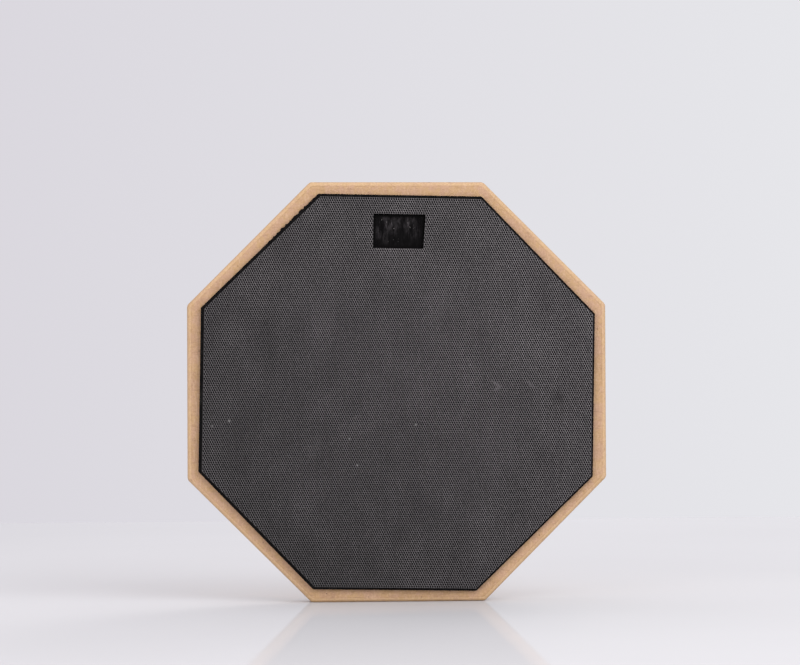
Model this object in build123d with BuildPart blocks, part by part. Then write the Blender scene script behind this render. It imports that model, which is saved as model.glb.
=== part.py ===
from build123d import *
import os
from math import cos, radians, sin

# Octagonal practice pad with a striking pad on each face of one fibreboard base. Millimetres.
# It stands upright on one flat of the board: +Z is up, the dimpled pad faces -Y, and the smooth
# rubber pad faces +Y. The origin is level with the standing edge, under the middle of the
# whole stack of layers and of the board's width.

# Board
BOARD_ACROSS_FLATS = 304.8
BOARD_THICKNESS = 18.0
BOARD_CORNER_RADIUS = 4.0
BOARD_ARRIS_RADIUS = 3.0

# Dimpled front pad, laid by hand a little out of square with the board
FRONT_RIM = 9.3
FRONT_TURN = -1.04  # degrees, anticlockwise seen from the front
FRONT_SHIFT = (-0.27, -0.55)  # across and up the board
FRONT_FOAM_THICKNESS = 4.0
FRONT_SKIN_THICKNESS = 1.2
FRONT_SKIN_SETBACK = 1.95
FRONT_SKIN_SHIFT = (0.45, -0.15)  # across and up the foam that it is stuck to

# Window through the front pad, cut by hand, and the blank nameplate that lies in it
WINDOW_WIDTH = 38.2  # along its top edge
WINDOW_HEIGHT = 25.15
WINDOW_LAND = 13.7  # strip of pad left between the window and the pad's top edge
WINDOW_SHIFT_X = -0.4  # of the top edge's middle
WINDOW_RIGHT_LEAN = 1.35  # how far the lower right corner is drawn in
WINDOW_CORNER_RADIUS = 0.6
NAMEPLATE_GAP = 0.3
NAMEPLATE_THICKNESS = 0.8
NAMEPLATE_TAPE_SETBACK = 1.0
NAMEPLATE_TAPE_THICKNESS = 0.25

# Smooth rear pad
REAR_RIM = 9.3
REAR_CUSHION_THICKNESS = 3.0
REAR_RUBBER_THICKNESS = 5.0
REAR_RUBBER_ARRIS_RADIUS = 0.8

# Shared by both pads
PAD_CORNER_RADIUS = 1.5
PAD_GLUE_THICKNESS = 0.2
SKIN_GLUE_THICKNESS = 0.1

OCTAGON_SIDES = 8
LEVEL_FLATS = 180 / OCTAGON_SIDES  # turn that brings two flats level
FRONT_PAD_ACROSS_FLATS = BOARD_ACROSS_FLATS - 2 * FRONT_RIM
FRONT_SKIN_ACROSS_FLATS = FRONT_PAD_ACROSS_FLATS - 2 * FRONT_SKIN_SETBACK
REAR_PAD_ACROSS_FLATS = BOARD_ACROSS_FLATS - 2 * REAR_RIM
WINDOW_LEFT = WINDOW_SHIFT_X - WINDOW_WIDTH / 2
WINDOW_RIGHT = WINDOW_SHIFT_X + WINDOW_WIDTH / 2
WINDOW_TOP = FRONT_PAD_ACROSS_FLATS / 2 - WINDOW_LAND
WINDOW_BOTTOM = WINDOW_TOP - WINDOW_HEIGHT

# How far the back of each layer stands off the board's face
FRONT_FOAM_OFF = PAD_GLUE_THICKNESS
FRONT_SKIN_GLUE_OFF = FRONT_FOAM_OFF + FRONT_FOAM_THICKNESS
FRONT_SKIN_OFF = FRONT_SKIN_GLUE_OFF + SKIN_GLUE_THICKNESS
FRONT_STACK = FRONT_SKIN_OFF + FRONT_SKIN_THICKNESS
REAR_CUSHION_OFF = PAD_GLUE_THICKNESS
REAR_RUBBER_GLUE_OFF = REAR_CUSHION_OFF + REAR_CUSHION_THICKNESS
REAR_RUBBER_OFF = REAR_RUBBER_GLUE_OFF + SKIN_GLUE_THICKNESS
REAR_STACK = REAR_RUBBER_OFF + REAR_RUBBER_THICKNESS

# Places in the part's frame
STACK_DEPTH = FRONT_STACK + BOARD_THICKNESS + REAR_STACK
BOARD_FRONT_Y = FRONT_STACK - STACK_DEPTH / 2
BOARD_REAR_Y = BOARD_FRONT_Y + BOARD_THICKNESS
BOARD_CENTRE_Z = BOARD_ACROSS_FLATS / 2


def front_pad_plane(off):
    """Plane that faces -Y, this far off the board's front, turned and shifted as the pad is laid."""
    turn = radians(FRONT_TURN)
    return Plane(
        origin=(FRONT_SHIFT[0], BOARD_FRONT_Y - off, BOARD_CENTRE_Z + FRONT_SHIFT[1]),
        x_dir=(cos(turn), 0, sin(turn)),
        z_dir=(0, -1, 0),
    )


def rear_pad_plane(off):
    """Plane that faces +Y, this far off the board's rear and square and central on it."""
    return Plane(origin=(0, BOARD_REAR_Y + off, BOARD_CENTRE_Z), x_dir=(-1, 0, 0), z_dir=(0, 1, 0))


def draw_octagon(sketch, across_flats, corner_radius, shift=(0, 0)):
    """Draws an octagon with level flats and rounded corners in the open sketch."""
    with Locations(shift):
        RegularPolygon(across_flats / 2, OCTAGON_SIDES, major_radius=False, rotation=LEVEL_FLATS)
    fillet(sketch.vertices(), corner_radius)


def draw_window(sketch, setback):
    """Draws the window's four-sided outline, drawn in by the setback, in the open sketch."""
    Polygon(
        (WINDOW_LEFT, WINDOW_TOP),
        (WINDOW_LEFT, WINDOW_BOTTOM),
        (WINDOW_RIGHT - WINDOW_RIGHT_LEAN, WINDOW_BOTTOM),
        (WINDOW_RIGHT, WINDOW_TOP),
        align=None,
    )
    if setback:
        offset(amount=-setback, kind=Kind.INTERSECTION, mode=Mode.REPLACE)
    fillet(sketch.vertices(), WINDOW_CORNER_RADIUS)


# Opening that is cut through every layer of the front pad
with BuildSketch() as window:
    draw_window(window, 0)

# One-piece fibreboard octagon, with every arris of its two faces rounded over
with BuildPart() as base_board:
    with BuildSketch(rear_pad_plane(-BOARD_THICKNESS)) as board_outline:
        draw_octagon(board_outline, BOARD_ACROSS_FLATS, BOARD_CORNER_RADIUS)
    extrude(amount=BOARD_THICKNESS)
    fillet(base_board.faces().filter_by(Axis.Y).edges(), BOARD_ARRIS_RADIUS)
base_board.part.label = "base_board"

# Contact adhesive under the front pad
with BuildPart() as front_pad_glue:
    with BuildSketch(front_pad_plane(0)) as front_glue_outline:
        draw_octagon(front_glue_outline, FRONT_PAD_ACROSS_FLATS, PAD_CORNER_RADIUS)
        add(window.sketch, mode=Mode.SUBTRACT)
    extrude(amount=PAD_GLUE_THICKNESS)
front_pad_glue.part.label = "front_pad_glue"

# Black foam backing of the front pad
with BuildPart() as front_foam:
    with BuildSketch(front_pad_plane(FRONT_FOAM_OFF)) as front_foam_outline:
        draw_octagon(front_foam_outline, FRONT_PAD_ACROSS_FLATS, PAD_CORNER_RADIUS)
        add(window.sketch, mode=Mode.SUBTRACT)
    extrude(amount=FRONT_FOAM_THICKNESS)
front_foam.part.label = "front_foam"

# Adhesive between the foam and the dimpled skin
with BuildPart() as front_skin_glue:
    with BuildSketch(front_pad_plane(FRONT_SKIN_GLUE_OFF)) as front_skin_glue_outline:
        draw_octagon(front_skin_glue_outline, FRONT_SKIN_ACROSS_FLATS, PAD_CORNER_RADIUS, FRONT_SKIN_SHIFT)
        add(window.sketch, mode=Mode.SUBTRACT)
    extrude(amount=SKIN_GLUE_THICKNESS)
front_skin_glue.part.label = "front_skin_glue"

# Dimpled rubber skin, the front striking face
with BuildPart() as front_skin:
    with BuildSketch(front_pad_plane(FRONT_SKIN_OFF)) as front_skin_outline:
        draw_octagon(front_skin_outline, FRONT_SKIN_ACROSS_FLATS, PAD_CORNER_RADIUS, FRONT_SKIN_SHIFT)
        add(window.sketch, mode=Mode.SUBTRACT)
    extrude(amount=FRONT_SKIN_THICKNESS)
front_skin.part.label = "front_skin"

# Double-sided tape that holds the nameplate to the board
with BuildPart() as nameplate_tape:
    with BuildSketch(front_pad_plane(0)) as nameplate_tape_outline:
        draw_window(nameplate_tape_outline, NAMEPLATE_GAP + NAMEPLATE_TAPE_SETBACK)
    extrude(amount=NAMEPLATE_TAPE_THICKNESS)
nameplate_tape.part.label = "nameplate_tape"

# Blank black nameplate at the bottom of the window
with BuildPart() as nameplate:
    with BuildSketch(front_pad_plane(NAMEPLATE_TAPE_THICKNESS)) as nameplate_outline:
        draw_window(nameplate_outline, NAMEPLATE_GAP)
    extrude(amount=NAMEPLATE_THICKNESS)
nameplate.part.label = "nameplate"

# Contact adhesive under the rear pad
with BuildPart() as rear_pad_glue:
    with BuildSketch(rear_pad_plane(0)) as rear_glue_outline:
        draw_octagon(rear_glue_outline, REAR_PAD_ACROSS_FLATS, PAD_CORNER_RADIUS)
    extrude(amount=PAD_GLUE_THICKNESS)
rear_pad_glue.part.label = "rear_pad_glue"

# Foam cushion of the rear pad
with BuildPart() as rear_cushion:
    with BuildSketch(rear_pad_plane(REAR_CUSHION_OFF)) as rear_cushion_outline:
        draw_octagon(rear_cushion_outline, REAR_PAD_ACROSS_FLATS, PAD_CORNER_RADIUS)
    extrude(amount=REAR_CUSHION_THICKNESS)
rear_cushion.part.label = "rear_cushion"

# Adhesive between the cushion and the smooth rubber
with BuildPart() as rear_rubber_glue:
    with BuildSketch(rear_pad_plane(REAR_RUBBER_GLUE_OFF)) as rear_rubber_glue_outline:
        draw_octagon(rear_rubber_glue_outline, REAR_PAD_ACROSS_FLATS, PAD_CORNER_RADIUS)
    extrude(amount=SKIN_GLUE_THICKNESS)
rear_rubber_glue.part.label = "rear_rubber_glue"

# Smooth gum rubber, the rear striking face, with its outer arris eased
with BuildPart() as rear_rubber:
    with BuildSketch(rear_pad_plane(REAR_RUBBER_OFF)) as rear_rubber_outline:
        draw_octagon(rear_rubber_outline, REAR_PAD_ACROSS_FLATS, PAD_CORNER_RADIUS)
    extrude(amount=REAR_RUBBER_THICKNESS)
    fillet(rear_rubber.faces().sort_by(Axis.Y)[-1].edges(), REAR_RUBBER_ARRIS_RADIUS)
rear_rubber.part.label = "rear_rubber"

pieces = [
    base_board,
    front_pad_glue,
    front_foam,
    front_skin_glue,
    front_skin,
    nameplate_tape,
    nameplate,
    rear_pad_glue,
    rear_cushion,
    rear_rubber_glue,
    rear_rubber,
]
os.makedirs("parts", exist_ok=True)
for piece in pieces:
    export_step(piece.part, f"parts/{piece.part.label}.step")
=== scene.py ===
"""The looks of a two-sided octagonal practice pad, made round its packed layers. Everything is in metres.

The pad stands on one flat of its board: x runs across, z up, and the dimpled side faces -Y.
"""

import logging
import math
from collections.abc import Sequence
from dataclasses import dataclass
from enum import Enum

import bpy
import numpy as np
from mathutils import Matrix, Vector
from mathutils.geometry import tessellate_polygon


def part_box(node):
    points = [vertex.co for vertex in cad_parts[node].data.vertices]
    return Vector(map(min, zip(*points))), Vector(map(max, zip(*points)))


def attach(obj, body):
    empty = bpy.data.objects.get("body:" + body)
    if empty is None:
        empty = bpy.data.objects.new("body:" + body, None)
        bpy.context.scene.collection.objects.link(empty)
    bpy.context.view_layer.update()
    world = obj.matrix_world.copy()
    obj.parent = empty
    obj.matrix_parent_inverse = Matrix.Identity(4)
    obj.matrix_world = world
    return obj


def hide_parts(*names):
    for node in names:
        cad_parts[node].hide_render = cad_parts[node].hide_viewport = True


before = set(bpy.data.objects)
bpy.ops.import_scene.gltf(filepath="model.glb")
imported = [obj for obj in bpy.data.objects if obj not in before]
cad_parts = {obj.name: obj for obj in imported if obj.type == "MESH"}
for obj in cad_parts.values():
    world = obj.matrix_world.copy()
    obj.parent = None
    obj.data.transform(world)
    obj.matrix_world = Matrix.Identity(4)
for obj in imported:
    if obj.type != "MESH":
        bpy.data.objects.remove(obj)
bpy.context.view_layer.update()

BODY = "root"
MM = 0.001
OCTAGON_SIDES = 8
HALF_SIDE_TURN = math.pi / OCTAGON_SIDES
LOG = logging.getLogger("practice_pad")

Colour = tuple[float, float, float]
Socket = bpy.types.NodeSocket


class GluePlace(Enum):
    """What an adhesive film lies against, which sets how dark it looks; the value names its material."""

    ON_WOOD = "amber_adhesive"
    ON_BLACK_FOAM = "dark_adhesive"


# ---------------------------------------------------------------------------------------------
# Surfaces
# ---------------------------------------------------------------------------------------------


@dataclass(frozen=True)
class Ripple:
    """Seeded smooth unevenness: a sum of plane sine waves with turned directions and phases."""

    wavelength: float
    seed: int
    waves: int = 14
    spread: float = 0.45

    def over(self, across: np.ndarray, up: np.ndarray) -> np.ndarray:
        """Value at each place: the mean of sin(k . p + phase) over the waves, times the root of their number.

        Args:
            across: places along the first axis.
            up: places along the second axis.

        Returns:
            An array of the same shape, mostly between -1 and 1.
        """
        rng = np.random.default_rng(self.seed)
        heading = rng.uniform(0.0, 2.0 * math.pi, self.waves)
        length = self.wavelength * rng.uniform(1.0 - self.spread, 1.0 + self.spread, self.waves)
        phase = rng.uniform(0.0, 2.0 * math.pi, self.waves)
        total = np.zeros(np.broadcast(across, up).shape)
        for angle, wave, start in zip(heading, length, phase):
            k = 2.0 * math.pi / wave
            total += np.sin(k * (across * math.cos(angle) + up * math.sin(angle)) + start)
        return total / math.sqrt(self.waves)


@dataclass(frozen=True)
class Outline:
    """A closed outline with rounded corners, as an inner polygon and the outward normal at each sample.

    A point is base * (1 + offset / reach) + radius * normal: the inner polygon stretched so that its
    sides move out by the offset, and the corner radius added along the normal.
    """

    base: np.ndarray
    normal: np.ndarray
    reach: np.ndarray
    radius: float

    @classmethod
    def rounded(
        cls, corners: np.ndarray, reach: np.ndarray, radius: float, step: float, corner_steps: int = 4
    ) -> "Outline":
        """Samples the sides of a polygon evenly and turns the normal steadily at each of its corners.

        Args:
            corners: (K, 2) corners of the inner polygon, anticlockwise.
            reach: half the inner polygon's width across and up.
            radius: corner radius.
            step: longest distance between samples on a side.
            corner_steps: samples in each corner's turn.

        Returns:
            The outline, starting at the first corner.
        """
        base, normal = [], []
        run = np.roll(corners, -1, axis=0) - corners
        heading = np.arctan2(-run[:, 0], run[:, 1])
        for start, leg, angle, following in zip(corners, run, heading, np.roll(heading, -1)):
            count = max(2, math.ceil(np.linalg.norm(leg) / step))
            share = np.linspace(0.0, 1.0, count + 1)[:, None]
            base.append(start + share * leg)
            normal.append(np.broadcast_to([math.cos(angle), math.sin(angle)], (count + 1, 2)))
            turn = (following - angle) % (2.0 * math.pi)
            angles = angle + turn * np.arange(1, corner_steps) / corner_steps
            base.append(np.broadcast_to(start + leg, (corner_steps - 1, 2)))
            normal.append(np.stack([np.cos(angles), np.sin(angles)], axis=1))
        return cls(np.concatenate(base), np.concatenate(normal), np.asarray(reach, float), radius)

    @classmethod
    def octagon(cls, half: float, radius: float, step: float) -> "Outline":
        """A regular octagon with level flats: inner corners at half / cos(22.5 degrees), every 45 degrees.

        Args:
            half: distance from the centre to a flat.
            radius: corner radius.
            step: longest distance between samples on a side.

        Returns:
            The octagon's outline.
        """
        inner = half - radius
        angle = HALF_SIDE_TURN * (2.0 * np.arange(OCTAGON_SIDES) - 1.0)
        corners = inner / math.cos(HALF_SIDE_TURN) * np.stack([np.cos(angle), np.sin(angle)], axis=1)
        return cls.rounded(corners, np.array([inner, inner]), radius, step)

    def at(self, offset: float | np.ndarray) -> np.ndarray:
        """The outline moved out by offset, one number or one for each sample, as (N, 2) points."""
        shift = np.broadcast_to(np.asarray(offset, float), (len(self.base),))[:, None]
        return self.base * (1.0 + shift / self.reach) + self.radius * self.normal

    def along(self) -> np.ndarray:
        """Distance of each sample along the outline from its first sample."""
        step = np.linalg.norm(np.diff(self.at(0.0), axis=0), axis=1)
        return np.concatenate([[0.0], np.cumsum(step)])

    def bearings(self, centre: np.ndarray) -> np.ndarray:
        """Bearing of each sample from a place inside the outline, rising from the first sample."""
        away = self.at(0.0) - centre
        return np.unwrap(np.arctan2(away[:, 1], away[:, 0]))

    def resampled(self, bearings: np.ndarray, centre: np.ndarray) -> "Outline":
        """The same outline with its samples where the given bearings from a centre meet it.

        Args:
            bearings: rising bearings over one turn, in radians.
            centre: the place that the bearings are taken from.

        Returns:
            An outline with one sample for each bearing.
        """
        own = self.bearings(centre)
        turn = 2.0 * math.pi
        order = np.concatenate([own - turn, own, own + turn])
        wanted = own[0] + (bearings - own[0]) % turn
        base = [np.interp(wanted, order, np.tile(self.base[:, axis], 3)) for axis in (0, 1)]
        normal = [np.interp(wanted, order, np.tile(self.normal[:, axis], 3)) for axis in (0, 1)]
        length = np.hypot(normal[0], normal[1])
        return Outline(np.stack(base, 1), np.stack(normal, 1) / length[:, None], self.reach, self.radius)


@dataclass(frozen=True)
class PadPlane:
    """The plane that a pad's layers lie in: its centre in x and z, and its turn seen from the front."""

    centre_x: float
    centre_z: float
    turn: float = 0.0

    @classmethod
    def of_node(cls, node: str, turn: float = 0.0) -> "PadPlane":
        """The plane centred on a CAD layer."""
        low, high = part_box(node)
        return cls((low.x + high.x) / 2.0, (low.z + high.z) / 2.0, turn)

    def place(self, flat: np.ndarray, depth: float | np.ndarray) -> np.ndarray:
        """Turns places in the plane and sets them at a depth: (x cos t - z sin t, depth, x sin t + z cos t).

        Args:
            flat: (..., 2) places in the plane.
            depth: depth along Y, one number or one for each place.

        Returns:
            (..., 3) points of the part.
        """
        cos, sin = math.cos(self.turn), math.sin(self.turn)
        across, up = flat[..., 0], flat[..., 1]
        x = self.centre_x + across * cos - up * sin
        z = self.centre_z + across * sin + up * cos
        return np.stack([x, np.broadcast_to(depth, x.shape), z], axis=-1)

    def locate(self, other: "PadPlane") -> np.ndarray:
        """Where another plane's centre lies in this plane: the step between centres, turned back.

        Args:
            other: the other plane.

        Returns:
            The other centre's place in this plane.
        """
        away = np.array([other.centre_x - self.centre_x, other.centre_z - self.centre_z])
        cos, sin = math.cos(self.turn), math.sin(self.turn)
        return np.array([away[0] * cos + away[1] * sin, -away[0] * sin + away[1] * cos])


def half_across_flats(node: str, turn: float = 0.0) -> float:
    """Half the width of a CAD octagon's box over cos t + tan(22.5 degrees) |sin t|, its widening by a turn t.

    Args:
        node: the CAD node.
        turn: how far the octagon is turned about Y.

    Returns:
        The distance from the octagon's centre to a flat.
    """
    low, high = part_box(node)
    widening = math.cos(turn) + math.tan(HALF_SIDE_TURN) * abs(math.sin(turn))
    return (high.x - low.x) / 2.0 / widening


def ring_quads(rings: int, around: int, closed: bool) -> np.ndarray:
    """Quads between neighbouring rings of points; point (i, j) has the index i * around + j.

    Args:
        rings: how many rings there are.
        around: how many points each ring has.
        closed: whether the last ring joins the first.

    Returns:
        (Q, 4) point indices.
    """
    row = np.arange(rings if closed else rings - 1)[:, None]
    column = np.arange(around)[None, :]
    next_row, next_column = (row + 1) % rings, (column + 1) % around
    quads = [
        row * around + column,
        row * around + next_column,
        next_row * around + next_column,
        next_row * around + column,
    ]
    return np.stack([np.broadcast_to(q, (row.size, around)) for q in quads], axis=-1).reshape(-1, 4)


def pole_fan(ring_start: int, around: int, pole: int) -> np.ndarray:
    """Triangles that close one ring of points onto a pole.

    Args:
        ring_start: index of the ring's first point.
        around: how many points the ring has.
        pole: index of the pole.

    Returns:
        (around, 3) point indices.
    """
    column = np.arange(around)
    following = (column + 1) % around
    return np.stack([ring_start + column, np.full(around, pole), ring_start + following], axis=1)


def signed_volume(points: np.ndarray, faces: Sequence[np.ndarray]) -> float:
    """Volume inside the faces, negative if they face inwards: a sixth of a . (b x c), summed over triangles.

    Args:
        points: (N, 3) points.
        faces: groups of faces, each with one number of corners.

    Returns:
        The volume.
    """
    total = 0.0
    for group in faces:
        for k in range(1, group.shape[1] - 1):
            a, b, c = points[group[:, 0]], points[group[:, k]], points[group[:, k + 1]]
            total += float(np.einsum("ij,ij->i", a, np.cross(b, c)).sum()) / 6.0
    return total


@dataclass
class Skin:
    """Points and faces of one closed surface, with named values at its points."""

    points: np.ndarray
    faces: list[np.ndarray]
    values: dict[str, np.ndarray]

    def to_object(self, name: str, sharp_degrees: float = 40.0) -> bpy.types.Object:
        """Makes the surface a smooth-shaded object with its faces outwards.

        Args:
            name: the piece's name.
            sharp_degrees: edges that turn by more than this stay sharp.

        Returns:
            The object, at the origin and linked into the scene.
        """
        faces = self.faces
        if signed_volume(self.points, faces) < 0.0:
            faces = [group[:, ::-1] for group in faces]
        loops = np.concatenate([group.ravel() for group in faces]).astype(np.int32)
        sizes = np.concatenate([np.full(len(group), group.shape[1]) for group in faces])
        starts = np.concatenate([[0], np.cumsum(sizes)[:-1]]).astype(np.int32)
        mesh = bpy.data.meshes.new(name)
        mesh.vertices.add(len(self.points))
        mesh.vertices.foreach_set("co", self.points.astype(np.float32).ravel())
        mesh.loops.add(len(loops))
        mesh.loops.foreach_set("vertex_index", loops)
        mesh.polygons.add(len(sizes))
        mesh.polygons.foreach_set("loop_start", starts)
        mesh.update(calc_edges=True)
        for key, values in self.values.items():
            attribute = mesh.attributes.new(key, "FLOAT", "POINT")
            attribute.data.foreach_set("value", values.astype(np.float32).ravel())
        mesh.shade_smooth()
        mesh.set_sharp_from_angle(angle=math.radians(sharp_degrees))
        piece = bpy.data.objects.new(name, mesh)
        bpy.context.scene.collection.objects.link(piece)
        return piece


def finish_piece(
    piece: bpy.types.Object,
    material: bpy.types.Material,
    nodes: Sequence[str],
) -> None:
    """Dresses a new piece and ties it to the CAD layers that it stands for.

    Args:
        piece: the finished object.
        material: its finish.
        nodes: the CAD nodes that it replaces.
    """
    piece.data.materials.append(material)
    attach(piece, BODY)
    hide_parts(*nodes)
    LOG.info("%s: %d points, %d faces", piece.name, len(piece.data.vertices), len(piece.data.polygons))


# ---------------------------------------------------------------------------------------------
# Finishes
# ---------------------------------------------------------------------------------------------


class NodeTree:
    """A material under construction: nodes are added with their inputs given as numbers or sockets."""

    def __init__(self, name: str) -> None:
        """Starts a material that holds only a Principled shader and its output.

        Args:
            name: the material's name.
        """
        self.material = bpy.data.materials.new(name)
        self.material.use_nodes = True
        self.tree = self.material.node_tree
        self.tree.nodes.clear()
        self.shader = self.tree.nodes.new("ShaderNodeBsdfPrincipled")
        self.output = self.tree.nodes.new("ShaderNodeOutputMaterial")
        self.tree.links.new(self.shader.outputs["BSDF"], self.output.inputs["Surface"])
        self.place = self.tree.nodes.new("ShaderNodeTexCoord").outputs["Object"]

    def feed(self, socket: Socket, value: object) -> None:
        """Links a socket to an input, or sets the input's value.

        Args:
            socket: the input.
            value: a socket, a colour, a vector or a number.
        """
        if isinstance(value, bpy.types.NodeSocket):
            self.tree.links.new(value, socket)
        elif isinstance(value, tuple) and len(value) == 3 and socket.type == "RGBA":
            socket.default_value = (*value, 1.0)
        else:
            socket.default_value = value

    def add(self, kind: str, inputs: dict[str | int, object], **settings: object) -> bpy.types.Node:
        """Adds a node with its settings and inputs.

        Args:
            kind: the node's type.
            inputs: what goes into its inputs, by name or number.
            **settings: the node's own settings.

        Returns:
            The node.
        """
        node = self.tree.nodes.new(kind)
        for key, value in settings.items():
            setattr(node, key, value)
        for key, value in inputs.items():
            self.feed(node.inputs[key], value)
        return node

    def stretched(self, scale: tuple[float, float, float], turn: float = 0.0) -> Socket:
        """Object coordinates turned about Y and then scaled by axis."""
        inputs = {"Vector": self.place, "Rotation": (0.0, turn, 0.0), "Scale": scale}
        return self.add("ShaderNodeMapping", inputs, vector_type="POINT").outputs["Vector"]

    def noise(
        self, size: float, detail: float = 2.0, rough: float = 0.5, at: Socket | None = None
    ) -> Socket:
        """Smooth noise from 0 to 1 with features about size metres across."""
        inputs = {"Vector": at or self.place, "Scale": 1.0 / size, "Detail": detail, "Roughness": rough}
        return self.add("ShaderNodeTexNoise", inputs).outputs["Fac"]

    def cells(self, size: float) -> Socket:
        """Voronoi cells about size metres apart: 0 at each cell's middle and rising to its edges."""
        inputs = {"Vector": self.place, "Scale": 1.0 / size}
        return self.add("ShaderNodeTexVoronoi", inputs).outputs["Distance"]

    def value(self, name: str) -> Socket:
        """The named value at each point of the piece."""
        return self.add("ShaderNodeAttribute", {}, attribute_name=name).outputs["Fac"]

    def remap(
        self, source: Socket, low: float, high: float, to_low: float = 0.0, to_high: float = 1.0
    ) -> Socket:
        """Stretches low..high to to_low..to_high and holds it there."""
        inputs = {"Value": source, "From Min": low, "From Max": high, "To Min": to_low, "To Max": to_high}
        return self.add("ShaderNodeMapRange", inputs, clamp=True).outputs["Result"]

    def math(self, operation: str, first: object, second: object) -> Socket:
        """One sum, product or other operation on two numbers."""
        return self.add("ShaderNodeMath", {0: first, 1: second}, operation=operation).outputs["Value"]

    def mix(self, share: object, first: object, second: object, blend: str = "MIX") -> Socket:
        """Mixes two colours, from the first at share 0 to the second at share 1.

        Args:
            share: how much of the second there is.
            first: the colour underneath.
            second: the colour on top.
            blend: how they are put together.

        Returns:
            The mixed colour.
        """
        node = self.add("ShaderNodeMix", {}, data_type="RGBA", blend_type=blend)
        self.feed(node.inputs[0], share)
        self.feed(node.inputs[6], first)
        self.feed(node.inputs[7], second)
        return node.outputs[2]

    def bump(self, height: Socket, distance: float, strength: float, over: Socket | None = None) -> Socket:
        """Relief from a height between 0 and 1.

        Args:
            height: the height.
            distance: the relief's depth in metres.
            strength: how strongly it turns the surface.
            over: another relief that it lies on.

        Returns:
            The normal.
        """
        inputs: dict[str | int, object] = {"Height": height, "Distance": distance, "Strength": strength}
        if over is not None:
            inputs["Normal"] = over
        return self.add("ShaderNodeBump", inputs).outputs["Normal"]

    def surface(
        self, colour: Socket, roughness: Socket, relief: Socket, gloss: float = 0.5
    ) -> bpy.types.Material:
        """Feeds the Principled shader's inputs and hands over the material.

        Args:
            colour: the base colour.
            roughness: the roughness.
            relief: the normal.
            gloss: the specular level.

        Returns:
            The finished material.
        """
        inputs = {"Base Color": colour, "Roughness": roughness, "Normal": relief, "Specular IOR Level": gloss}
        for key, value in inputs.items():
            self.feed(self.shader.inputs[key], value)
        return self.material


@dataclass(frozen=True)
class Fibreboard:
    """Bare sanded fibreboard: fibre speckle, tan and rosy blotches, a few dark chips, darker routed edges."""

    rosy: Colour = (0.525, 0.328, 0.215)
    tan: Colour = (0.530, 0.338, 0.178)
    deep: Colour = (0.370, 0.222, 0.128)
    fibre: Colour = (0.640, 0.440, 0.290)
    chip: Colour = (0.130, 0.068, 0.036)
    routed: Colour = (0.330, 0.195, 0.110)
    sanded: Colour = (0.660, 0.475, 0.270)
    arris: float = 3.0 * MM
    blotch_size: float = 7.0 * MM
    shade_size: float = 22.0 * MM
    grain_size: float = 1.5 * MM
    fibre_size: float = 1.1 * MM
    fibre_draw: float = 0.22
    chip_spacing: float = 5.5 * MM
    chip_patch: float = 11.0 * MM
    relief: float = 0.14 * MM
    gloss: float = 0.25

    def material(self) -> bpy.types.Material:
        """Fibres are noise drawn out in two crossing directions; chips are the middles of sparse cells.

        The sanded band is where the inset value is under the arris radius, with a dark line just inside it.

        Returns:
            The finished material.
        """
        made = NodeTree("fibreboard")
        blotch = made.noise(self.blotch_size, detail=4.0, rough=0.7)
        shade = made.noise(self.shade_size, detail=4.0, rough=0.6)
        grain = made.noise(self.grain_size, detail=5.0, rough=0.8)
        colour = made.mix(made.remap(blotch, 0.42, 0.58), self.rosy, self.tan)
        colour = made.mix(made.remap(shade, 0.55, 0.75, 0.0, 0.45), colour, self.deep)
        colour = made.mix(made.remap(grain, 0.50, 0.68, 0.0, 0.8), colour, self.fibre)
        colour = made.mix(made.remap(grain, 0.47, 0.30, 0.0, 0.65), colour, self.deep)
        flat_fibre = made.noise(self.fibre_size, at=made.stretched((self.fibre_draw, 1.0, 1.0), turn=0.5))
        steep_fibre = made.noise(self.fibre_size, at=made.stretched((1.0, 1.0, self.fibre_draw), turn=0.3))
        colour = made.mix(made.remap(flat_fibre, 0.58, 0.70, 0.0, 0.50), colour, self.deep)
        colour = made.mix(made.remap(steep_fibre, 0.58, 0.70, 0.0, 0.50), colour, self.fibre)
        chip_share = made.remap(made.cells(self.chip_spacing), 0.03, 0.12, 0.9, 0.0)
        rare = made.remap(made.noise(self.chip_patch), 0.50, 0.60)
        colour = made.mix(made.math("MULTIPLY", chip_share, rare), colour, self.chip)
        inset = made.value("inset")
        band = made.remap(inset, 0.86 * self.arris, self.arris, 0.42, 0.0)
        band = made.math("MULTIPLY", band, made.remap(grain, 0.35, 0.6, 0.5, 1.0))
        colour = made.mix(band, colour, self.sanded)
        off_line = made.math("ABSOLUTE", made.math("SUBTRACT", inset, 1.06 * self.arris), 0.0)
        line = made.remap(off_line, 0.0, 0.12 * self.arris, 0.55, 0.0)
        line = made.math("MULTIPLY", line, made.remap(blotch, 0.40, 0.60, 0.1, 1.0))
        colour = made.mix(line, colour, self.routed)
        worn = made.math("MULTIPLY", made.value("routed"), made.remap(grain, 0.25, 0.75, 0.35, 0.9))
        colour = made.mix(worn, colour, self.routed)
        core = made.math("MULTIPLY", made.value("core"), made.remap(steep_fibre, 0.35, 0.65, 0.1, 0.45))
        colour = made.mix(core, colour, self.fibre)
        relief = made.bump(grain, self.relief, 0.7)
        relief = made.bump(steep_fibre, self.relief, 0.45, over=relief)
        roughness = made.remap(shade, 0.3, 0.7, 0.70, 0.84)
        return made.surface(colour, roughness, relief, self.gloss)


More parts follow.
